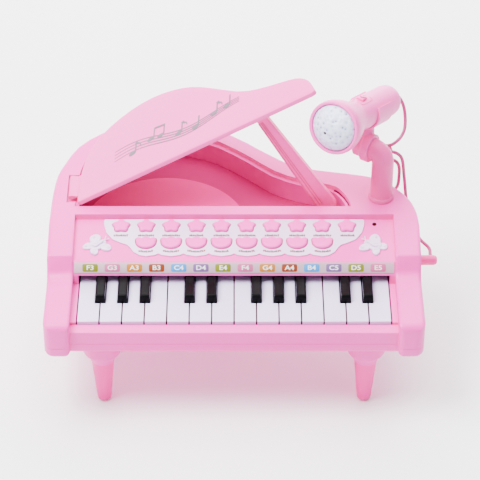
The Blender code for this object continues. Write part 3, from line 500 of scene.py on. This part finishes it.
def letters(text, x, along, name):
    """Raised lettering on the note strip, a quarter wider than the font's own."""
    curve = bpy.data.curves.new(name + "_font", "FONT")
    curve.body = text
    curve.size = 6.6
    curve.align_x = "CENTER"
    curve.align_y = "CENTER"
    curve.extrude = 0.05
    curve.offset = 0.12
    curve.resolution_u = 3
    made = bpy.data.objects.new(name + "_font", curve)
    bpy.context.scene.collection.objects.link(made)
    bpy.context.view_layer.update()
    mesh = bpy.data.meshes.new_from_object(made)
    bpy.data.objects.remove(made)
    for vertex in mesh.vertices:
        px, py, pz = vertex.co
        vertex.co = on_strip(x + px * 1.25, along + py, 0.86 + pz) * M
    mesh.name = name
    mesh.materials.clear()
    mesh.materials.append(LETTER)
    made = bpy.data.objects.new(name, mesh)
    bpy.context.scene.collection.objects.link(made)
    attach(made, "body")


build_strip()


# ------------------------------------------------------------------ buttons
TOP_BUTTONS = [((index - 4.5) * 25.8, 45.2) for index in range(10)]
LOW_BUTTONS = [((index - 3.5) * 25.75, 22.5) for index in range(8)]


def flower(scale):
    """Outline of a button with five soft lobes."""
    points = []
    for index in range(60):
        angle = math.pi / 2.0 + 2.0 * math.pi * index / 60
        lobe = 1.0 + 0.115 * math.cos(5.0 * (angle - math.pi / 2.0))
        points.append((8.3 * lobe * scale * math.cos(angle), 7.6 * lobe * scale * math.sin(angle)))
    return points


def tulip(scale):
    """Outline of a button with a round base and three points at its top."""
    points = arc((0.0, 0.0), 1.0, 180.0, 360.0, 20)
    points = [(10.2 * x, 8.6 * y + 1.2) for x, y in points]
    crown = [(10.2, 1.2), (10.5, 3.6), (9.9, 5.8), (8.2, 6.8), (6.3, 6.3), (5.0, 5.4), (3.6, 6.6),
             (1.8, 7.4), (0.0, 7.6), (-1.8, 7.4), (-3.6, 6.6), (-5.0, 5.4), (-6.3, 6.3),
             (-8.2, 6.8), (-9.9, 5.8), (-10.5, 3.6), (-10.2, 1.2)]
    points += smooth_chain(crown, 2)[1:-1]
    return [(x * scale, y * scale) for x, y in points]


def build_button(name, x, along, shape):
    """Button cap with a rounded edge and a shallow dish, in place of the CAD node."""
    builder = bmesh.new()
    rings = []
    steps = ((-3.2, 1.0), (2.3, 1.0), (3.1, 0.965), (3.7, 0.89), (4.0, 0.76), (3.85, 0.55), (3.7, 0.3))
    for height, scale in steps:
        rings.append([on_panel(x + px, along + py, height) for px, py in shape(scale)])
    dome(builder, rings, on_panel(x, along, 3.65))
    made = finish_mesh(name + "_cap", builder, PANEL_PINK, name, 60.0)
    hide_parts(name)


def build_button_shade_rings():
    """Thin darker line of painted shade round each button, in the gap where it drops into the plate."""
    builder = bmesh.new()
    for places, shape in ((TOP_BUTTONS, flower), (LOW_BUTTONS, tulip)):
        for x, along in places:
            rings = []
            for scale, height in ((1.03, 1.1), (1.03, 1.36), (1.085, 1.36), (1.10, 1.1)):
                rings.append([on_panel(x + px, along + py, height) for px, py in shape(scale)])
            hoop(builder, rings)
    finish_mesh("button_gap_shade", builder, BUTTON_GAP_SHADE, smooth=0)


build_button_shade_rings()
for index, (x, along) in enumerate(TOP_BUTTONS):
    build_button("button_top_%02d" % (index + 1), x, along, flower)
for index, (x, along) in enumerate(LOW_BUTTONS):
    build_button("button_low_%02d" % (index + 1), x, along, tulip)


# ------------------------------------------------------------------ printed marks
STROKE_PITCH = 1.85
TOP_CAPTION = 32.9
LOW_CAPTION = 11.4


def stroke_shape(x, low, high, tee):
    """Outline of one stroke: a T, or an L with a short foot to the right."""
    if tee:
        return [(x - 0.86, high - 1.2), (x - 0.6, high - 1.2), (x - 0.6, low), (x + 0.6, low),
                (x + 0.6, high - 1.2), (x + 0.86, high - 1.2), (x + 0.86, high), (x - 0.86, high)]
    return [(x - 0.86, low), (x + 0.86, low), (x + 0.86, low + 1.2), (x + 0.4, low + 1.2),
            (x + 0.4, high), (x - 0.86, high)]


def build_marks():
    """Rows of small red strokes where each button has a printed caption."""
    builder = bmesh.new()
    for row, (places, along) in enumerate(((TOP_BUTTONS, TOP_CAPTION), (LOW_BUTTONS, LOW_CAPTION))):
        for index, (centre, _) in enumerate(places):
            strokes = 8 + (index * 7 + row * 3) % 3
            for stroke in range(strokes):
                place = (stroke - (strokes - 1) / 2.0) * STROKE_PITCH
                low = along - 1.3
                if row == 1:
                    low += 0.02 * place * place
                high = low + 2.2 + 0.25 * ((stroke * 5 + index * 3) % 3)
                shape = stroke_shape(centre + place, low, high, (stroke + index) % 2)
                rings = []
                for height in (1.28, 1.42):
                    rings.append([on_panel(px, py, height) for px, py in shape])
                loft(builder, rings)
    finish_mesh("caption_marks", builder, MARK_RED, smooth=0)


build_marks()


# ------------------------------------------------------------------ butterflies
# Each lobe: middle x and y, half width, half height, lean and rise.
LOBES = ((-3.2, 7.0, 6.6, 7.6, -0.35, 2.6), (-11.0, -2.4, 6.6, 4.6, 0.30, 2.0),
         (-3.6, -9.2, 4.8, 5.6, 0.25, 2.2), (9.6, -4.2, 6.8, 4.8, -0.25, 2.2),
         (-2.2, -1.4, 8.6, 6.6, 0.1, 2.4), (5.2, 1.8, 5.2, 4.8, 0.5, 2.3))
LOBE_STEPS = ((0.03, 1.0), (0.55, 1.0), (0.85, 0.93), (1.0, 0.80), (1.0, 0.66), (0.86, 0.50))
LOBE_COUNT = 28


def tube(builder, path, radius, count):
    """Round tube along a list of points, with flat ends."""
    path = [Vector(p) for p in path]
    rings = []
    direction = (path[1] - path[0]).normalized()
    start = Vector((0.0, 0.0, 1.0)) if abs(direction.z) < 0.9 else Vector((1.0, 0.0, 0.0))
    normal = direction.cross(start).normalized()
    for index, point in enumerate(path):
        before = path[max(0, index - 1)]
        after = path[min(len(path) - 1, index + 1)]
        direction = (after - before).normalized()
        normal = (normal - direction * normal.dot(direction)).normalized()
        other = direction.cross(normal)
        ring = []
        for step in range(count):
            turn = 2.0 * math.pi * step / count
            ring.append(point + normal * (radius * math.cos(turn)) + other * (radius * math.sin(turn)))
        rings.append(ring)
    loft(builder, rings)


def build_butterfly(name, cx, cy, side):
    """Moulded butterfly seen from three quarters, made of low domed lobes."""
    builder = bmesh.new()
    for x, y, wide, tall, turn, rise in LOBES:
        x, y, wide, tall = 0.88 * x, 0.93 * y, 0.88 * wide, 0.93 * tall
        middle = Vector((cx + side * x, cy + y))
        lean = side * turn
        rings = []
        for share, scale in LOBE_STEPS:
            ring = []
            for step in range(LOBE_COUNT):
                angle = 2.0 * math.pi * step / LOBE_COUNT
                wave = scale * (1.0 + 0.05 * math.cos(3.0 * angle + x))
                px = wide * wave * math.cos(angle)
                py = tall * wave * math.sin(angle)
                ring.append(on_panel(middle.x + px * math.cos(lean) - py * math.sin(lean),
                                     middle.y + px * math.sin(lean) + py * math.cos(lean), rise * share))
            rings.append(ring)
        dome(builder, rings, on_panel(middle.x, middle.y, rise * 0.82))
        for spread in (-0.35, 0.0, 0.35):
            path = []
            for step in range(4):
                reach = 0.2 + 0.2 * step
                angle = math.atan2(y, side * x) + spread
                path.append(on_panel(middle.x + wide * reach * math.cos(angle),
                                     middle.y + tall * reach * math.sin(angle), rise * 0.97))
            tube(builder, path, 0.38, 6)
    rings = []
    for share in range(9):
        t = share / 8.0
        radius = 1.5 * math.sin(math.pi * (share + 0.35) / 8.7) + 0.25
        ring = []
        for index in range(12):
            turn = 2.0 * math.pi * index / 12
            x = side * (-3.2 + 9.4 * t) - side * 0.55 * radius * math.cos(turn)
            y = -4.2 + 8.6 * t + 0.8 * radius * math.cos(turn)
            ring.append(on_panel(cx + x, cy + y, 2.7 + radius * 0.8 * math.sin(turn)))
        rings.append(ring)
    loft(builder, rings)
    for way in (-1.0, 1.0):
        path = []
        for step in range(7):
            t = step / 6.0
            path.append(on_panel(cx + side * (5.9 + 3.8 * t - way * 1.8 * t * t),
                                 cy + 4.2 + 4.2 * t + way * 1.9 * t * t, 2.0))
        tube(builder, path, 0.55, 8)
    finish_mesh(name, builder, PLATE_WHITE, smooth=50.0)


build_butterfly("butterfly_left", -139.3, 21.0, 1.0)
build_butterfly("butterfly_right", 141.6, 21.0, -1.0)


# ------------------------------------------------------------------ power light and felt
POWER_LIGHT_X = 144.3
POWER_LIGHT_ALONG = 49.0


def build_small_parts():
    """Power light with its dark ring, and the red felt under the front of the keys."""
    light_place = place_along(PANEL_W, on_panel(POWER_LIGHT_X, POWER_LIGHT_ALONG, 0.0))
    builder = bmesh.new()
    lens = [(0.0, -3.0), (1.45, -3.0), (1.45, -0.9), (0.9, -0.3), (0.0, -0.1)]
    revolve(builder, lens, 20, light_place)
    finish_mesh("power_light", builder, LAMP_RED)
    builder = bmesh.new()
    ring = [(1.5, -0.6), (1.5, 0.14), (2.1, 0.14), (2.3, 0.02), (2.3, -0.6), (1.5, -0.6)]
    revolve(builder, ring, 24, light_place)
    finish_mesh("power_light_ring", builder, DARK_HOLE)
    builder = bmesh.new()
    rings = []
    for x in (-157.6, 157.6):
        rings.append([(x, -130.9, 104.0), (x, -62.0, 104.0), (x, -62.0, 105.2), (x, -130.9, 105.2)])
    loft(builder, rings)
    finish_mesh("key_felt", builder, FELT_RED, smooth=0)


build_small_parts()


# ------------------------------------------------------------------ lid ornament
HINGE = Vector((-169.5, 0.0, 157.0))
OPEN = math.radians(30.05)
LID_TOP = 156.4


def on_lid(x, y, out):
    """Point over the lid's upper face, from its place on the closed lid."""
    dx = x - HINGE.x
    dz = LID_TOP + out - HINGE.z
    return Vector((HINGE.x + dx * math.cos(OPEN) - dz * math.sin(OPEN), y,
                   HINGE.z + dx * math.sin(OPEN) + dz * math.cos(OPEN)))


def ribbon(builder, points, width, low=0.02, high=0.22):
    """Flat stroke on the lid through plan points, with a width at each point."""
    left = []
    right = []
    for index, (x, y) in enumerate(points):
        before = Vector(points[max(0, index - 1)])
        after = Vector(points[min(len(points) - 1, index + 1)])
        run = (after - before).normalized()
        size = width(index / (len(points) - 1)) / 2.0
        left.append((x - run.y * size, y + run.x * size))
        right.append((x + run.y * size, y - run.x * size))
    outline = right + list(reversed(left))
    rings = []
    for height in (low, high):
        rings.append([on_lid(x, y, height) for x, y in outline])
    loft(builder, rings)


# Each note: x and y of its head, and whether it has no flag (0), a flag (1) or a beam (2).
NOTES = ((-96.0, 45.0, 1), (-74.0, 55.5, 0), (-62.0, 54.0, 2), (-40.0, 43.0, 1),
         (-20.0, 40.0, 0), (2.0, 49.0, 1), (17.0, 51.0, 0))


def stave(offset):
    """Plan of one wavy line of the stave, which narrows to the right."""
    points = []
    for step in range(41):
        t = step / 40.0
        x = -118.0 + 150.0 * t
        wave = 7.0 * math.sin(2.0 * math.pi * (t * 1.15 + 0.08))
        spread = 1.0 - 0.55 * t
        points.append((x, 50.0 + wave + offset * spread - 4.0 * t))
    return points


def build_ornament():
    """Wavy stave of four lines with plain notes on the lid."""
    builder = bmesh.new()
    for index in range(4):
        ribbon(builder, stave((index - 1.5) * 5.6), lambda t: 0.9 + 0.9 * math.sin(math.pi * t))
    for x, y, kind in NOTES:
        outline = []
        for step in range(20):
            turn = 2.0 * math.pi * step / 20
            px = 4.3 * math.cos(turn)
            py = 3.0 * math.sin(turn)
            outline.append((x + px * 0.94 - py * 0.34, y + px * 0.34 + py * 0.94))
        rings = []
        for height in (0.05, 0.32):
            rings.append([on_lid(px, py, height) for px, py in outline])
        loft(builder, rings)
        stem = [(x + 3.7, y + 1.0), (x + 3.9, y + 8.0), (x + 4.2, y + 17.0)]
        ribbon(builder, stem, lambda t: 1.6, 0.06, 0.34)
        if kind == 1:
            flag = [(x + 4.1, y + 17.0), (x + 6.2, y + 14.2), (x + 9.0, y + 12.4), (x + 9.8, y + 8.4)]
            ribbon(builder, smooth_chain(flag, 4), lambda t: 3.2 * (1.0 - t) + 0.6, 0.07, 0.36)
        if kind == 2:
            ribbon(builder, [(x - 7.9, y + 17.7), (x + 4.9, y + 16.2)], lambda t: 3.0, 0.07, 0.36)
    made = finish_mesh("lid_ornament", builder, SILVER, "lid", 0)


build_ornament()


# ------------------------------------------------------------------ prop ribs
PROP_LEAN = math.radians(31.9)
PROP_FOOT = Vector((96.5, 148.0))
PROP_FRONT = 15.1


def build_prop_ribs():
    """Three long raised ribs on the left part of the prop stick's front face, in a darker pink as
    painted shade along them.
    """
    along = Vector((-math.sin(PROP_LEAN), math.cos(PROP_LEAN)))
    side = Vector((math.cos(PROP_LEAN), math.sin(PROP_LEAN)))
    builder = bmesh.new()
    for start, end, wide in ((-0.90, -0.88, 0.8), (-0.52, -0.46, 0.6), (-0.24, -0.20, 0.5)):
        corners = []
        for reach, share, half in ((6.0, start, 10.0), (127.0, end, 5.8)):
            centre = PROP_FOOT + along * reach + side * (share * half)
            corners.append((centre - side * wide, centre + side * wide))
        outline = [corners[0][0], corners[0][1], corners[1][1], corners[1][0]]
        rings = []
        for y in (PROP_FRONT + 0.15, PROP_FRONT - 0.48):
            rings.append([(p.x, y, p.y) for p in outline])
        loft(builder, rings)
    finish_mesh("prop_ribs", builder, RIB_SHADE_PINK, "prop", 0)


build_prop_ribs()


# ------------------------------------------------------------------ painted shade in the gap at the well's right end
def build_rim_shade_strip():
    """Dark strip of painted shade in the corner between the ledge and the rim of the well, beside the
    prop stick's foot.
    """
    inward = case.matrix_world.inverted()
    middle = Vector((95.0, 8.0, 152.5))
    builder = bmesh.new()
    rings = []
    for step in range(29):
        share = step / 28.0
        turn = math.radians(72.0 - 70.0 * share)
        aim = Vector((math.cos(turn), math.sin(turn), 0.0))
        found, spot, _, _ = case.ray_cast(inward @ (middle * M), aim)
        if not found:
            continue
        outer = (case.matrix_world @ spot) / M - aim * 0.1
        inner = outer - aim * (1.0 + 1.5 * (1.0 - share) ** 3)
        rings.append([(outer.x, outer.y, 150.6), (outer.x, outer.y, 151.1),
                      (inner.x, inner.y, 151.1), (inner.x, inner.y, 150.6)])
    loft(builder, rings)
    finish_mesh("well_corner_shade", builder, WELL_CORNER_SHADE, smooth=0)


build_rim_shade_strip()


# ------------------------------------------------------------------ microphone
MIC_AXIS = Vector((-0.510, -0.810, 0.285)).normalized()
MIC_MIDDLE = Vector((129.3, 35.2, 251.8))
MIC_PLACE = place_along(MIC_AXIS, MIC_MIDDLE)
HANDLE_RADIUS = 16.8
SWITCH_ALONG = 5.0


def on_handle(x, t, out):
    """Point on the handle's skin: x is measured round from the top, t along the axis."""
    turn = math.pi / 2.0 - x / HANDLE_RADIUS
    radius = HANDLE_RADIUS + out
    return MIC_PLACE @ Vector((radius * math.cos(turn), radius * math.sin(turn), t))


def build_switch_details():
    """Raised frame round the microphone's switch, and the chevron on the switch."""
    builder = bmesh.new()
    outer = rounded_box(-7.4, -8.6, 7.4, 16.2, 4.0, 5)
    inner = inset(outer, 1.3)
    rings = []
    for outline, height in ((outer, -0.2), (outer, 0.35), (inner, 0.35), (inner, -0.2)):
        rings.append([on_handle(x, t, height) for x, t in outline])
    hoop(builder, rings)
    finish_mesh("mic_switch_frame", builder, STAND_PINK, "mic")
    builder = bmesh.new()
    chevron = [(-3.0, -2.6), (0.0, 0.2), (3.0, -2.6), (3.0, -0.6), (0.0, 2.4), (-3.0, -0.6)]
    rings = []
    for height in (2.3, 3.0):
        ring = []
        for x, y in chevron:
            ring.append(MIC_PLACE @ Vector((x, HANDLE_RADIUS + height, y + SWITCH_ALONG)))
        rings.append(ring)
    loft(builder, rings)
    finish_mesh("mic_switch_mark", builder, CORD_PINK, "mic_switch", 0)


def build_sound_hole():
    """Dark round sound hole a little off the middle of the grille, on the dome's own surface."""
    grille = NODES["mic_grille"]
    inward = grille.matrix_world.inverted()
    start = MIC_PLACE @ Vector((-2.4, -3.2, 140.0))
    reach = inward @ (start * M)
    aim = (inward.to_3x3() @ (MIC_AXIS * -1.0)).normalized()
    found, spot, facing, _ = grille.ray_cast(reach, aim)
    if found:
        spot = (grille.matrix_world @ spot) / M
        facing = (grille.matrix_world.to_3x3() @ facing).normalized()
        profile = [(0.0, -1.5), (1.4, -1.5), (1.4, 0.1), (0.0, 0.1)]
        builder = bmesh.new()
        revolve(builder, profile, 20, place_along(facing, spot))
        finish_mesh("mic_sound_hole", builder, DARK_HOLE, "mic")


build_switch_details()
build_sound_hole()


# ------------------------------------------------------------------ cord
CORD_RADIUS = 1.8
PEG_X, PEG_Z = 157.0, 190.5
TAIL_POINT = MIC_MIDDLE + MIC_AXIS * -66.3
CORD_STATIONS = [
    tuple(TAIL_POINT), tuple(TAIL_POINT - MIC_AXIS * 9.0), (173.4, 101.6, 224.4),
    (178.2, 101.2, 214.0), (180.0, 94.4, 204.4), (179.0, 82.6, 198.4), (175.0, 71.0, 197.0),
    (169.8, 60.6, 198.2), (163.6, 53.6, 198.6), (157.0, 51.8, 198.0), (151.7, 51.5, 195.8),
    (149.5, 51.2, 190.5), (151.7, 50.9, 185.2), (157.0, 50.4, 183.0), (164.0, 49.4, 182.6),
    (169.6, 48.0, 180.2), (172.2, 46.8, 174.4), (172.6, 45.8, 165.0), (172.0, 45.4, 153.6),
    (169.4, 47.0, 146.0), (163.6, 50.8, 142.6), (157.8, 54.8, 146.0), (155.2, 56.4, 153.4),
    (154.6, 55.2, 163.0), (153.6, 51.5, 171.6), (151.4, 46.4, 178.8), (149.8, 43.2, 184.8),
    (149.5, 42.2, 190.5), (151.7, 42.0, 195.8), (157.0, 42.0, 198.0), (163.4, 42.4, 197.8),
    (169.0, 43.0, 195.2), (173.2, 43.6, 190.4), (175.4, 43.8, 183.6), (176.9, 43.2, 172.0),
    (178.6, 41.2, 158.0), (180.2, 38.0, 144.0), (182.8, 34.0, 131.0), (186.8, 28.8, 121.0),
    (190.4, 23.2, 114.0), (192.7, 17.0, 110.2), (194.4, 10.8, 108.2), (198.4, 5.0, 107.0),
    (202.6, -0.5, 106.3), (204.4, -6.0, 106.0), (204.4, -11.5, 106.0), (204.4, -16.65, 106.0)]


def build_cord():
    """Limp cord from the microphone's tail, once round the peg, to the plug in the case's side."""
    path = smooth_chain(CORD_STATIONS, 6)
    builder = bmesh.new()
    tube(builder, path, CORD_RADIUS, 14)
    cord = finish_mesh("mic_cord_visual", builder, CORD_PINK, None, 60.0)
    length = 0.0
    for first, second in zip(path[:-1], path[1:]):
        length += (Vector(second) - Vector(first)).length
    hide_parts("mic_cord")
    points = [tuple(Vector(p) * M) for p in path]
    tuple(points[0])
    tuple(points[0])
    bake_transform(cord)


def build_cord_peg():
    """Peg behind the stand that carries the loops of the cord."""
    builder = bmesh.new()
    profile = [(0.0, 30.0), (5.4, 30.0), (5.4, 53.6), (6.0, 54.2), (7.6, 54.6), (8.0, 55.2),
               (7.6, 56.0), (0.0, 56.4)]
    revolve(builder, profile, 32, place_along((0.0, 1.0, 0.0), (PEG_X, 0.0, PEG_Z)))
    finish_mesh("cord_peg", builder, STAND_PINK)


build_cord()
build_cord_peg()


# ------------------------------------------------------------------ room
FLOOR_REACH = 15000.0


def build_floor():
    """Plain pale floor that reaches past the view on every side."""
    builder = bmesh.new()
    corners = []
    for x, y in ((-1.0, -1.0), (1.0, -1.0), (1.0, 1.0), (-1.0, 1.0)):
        corners.append(builder.verts.new((x * FLOOR_REACH, y * FLOOR_REACH, 0.0)))
    builder.faces.new(corners)
    look = plastic("floor_white", (0.97, 0.97, 0.97), 0.6, 0.004, 0.0)
    finish_mesh("floor", builder, look, None, 0)


def area_light(name, place, target, size, power):
    """Rectangular light at a place, aimed at a target."""
    light = bpy.data.lights.new(name, "AREA")
    light.shape = "RECTANGLE"
    light.size = size[0]
    light.size_y = size[1]
    light.energy = power
    made = bpy.data.objects.new(name, light)
    made.location = place
    made.rotation_euler = (Vector(target) - Vector(place)).to_track_quat("-Z", "Y").to_euler()
    bpy.context.scene.collection.objects.link(made)


build_floor()
area_light("key_light", (-0.8, -0.35, 1.7), (0.0, 0.0, 0.12), (0.9, 0.9), 95.0)
area_light("fill_light", (1.3, -0.9, 1.1), (0.0, 0.0, 0.12), (1.0, 1.2), 5.0)
area_light("top_light", (0.1, 0.35, 1.8), (0.0, 0.0, 0.12), (1.8, 1.8), 80.0)
area_light("back_light", (0.2, 1.4, 1.2), (0.0, 0.0, 0.15), (1.4, 0.8), 20.0)
area_light("backdrop_light", (0.0, 1.35, 0.32), (0.0, 0.45, 0.0), (2.6, 0.4), 40.0)

world = bpy.data.worlds.new("studio")
world.use_nodes = True
backdrop = world.node_tree.nodes["Background"]
backdrop.inputs["Color"].default_value = (1.0, 1.0, 1.0, 1.0)
backdrop.inputs["Strength"].default_value = 0.6
bpy.context.scene.world = world

CAMERA_PLACE = (0.0, -1.786, 1.5609)
CAMERA_AIM = Vector((0.0, 0.7771, -0.6293))
camera = bpy.data.cameras.new("camera")
camera.lens = 165.0
camera.sensor_width = 36.0
camera.shift_x = 0.0122
camera.clip_end = 60.0
viewer = bpy.data.objects.new("camera", camera)
viewer.location = CAMERA_PLACE
viewer.rotation_euler = CAMERA_AIM.to_track_quat("-Z", "Y").to_euler()
bpy.context.scene.collection.objects.link(viewer)
bpy.context.scene.camera = viewer
